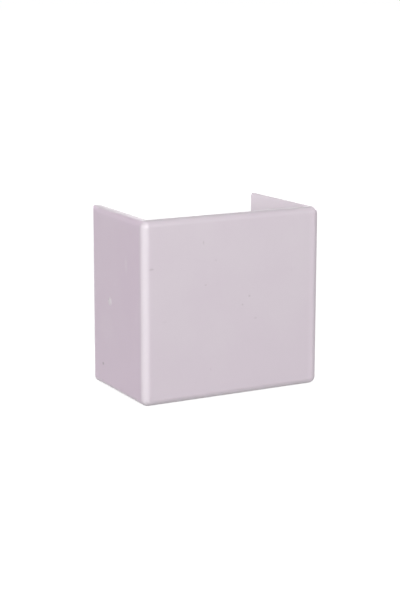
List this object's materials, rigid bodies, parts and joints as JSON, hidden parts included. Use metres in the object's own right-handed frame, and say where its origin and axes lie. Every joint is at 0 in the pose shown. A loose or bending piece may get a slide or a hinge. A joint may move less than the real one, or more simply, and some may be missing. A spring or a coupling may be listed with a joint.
{
  "type": "trunking straight coupler",
  "caption": "Straight coupler for rectangular mini trunking: a smooth moulded channel with rounded ends that clips over the joint between two lengths.",
  "frame": {"origin": "middle of the bounding box at the lower open end", "axes": "+Z along the trunking's run, from the lower open end to the upper one; +Y from the front wall towards the open back, where the wall behind the trunking is; +X across the trunking"},
  "size_m": [0.0436, 0.0254, 0.04],
  "materials": {
    "moulding": "smooth satin gloss moulding in a pale, slightly lilac white"
  },
  "bodies": {
    "root": {"coupler": "moulding"}
  },
  "joints": []
}
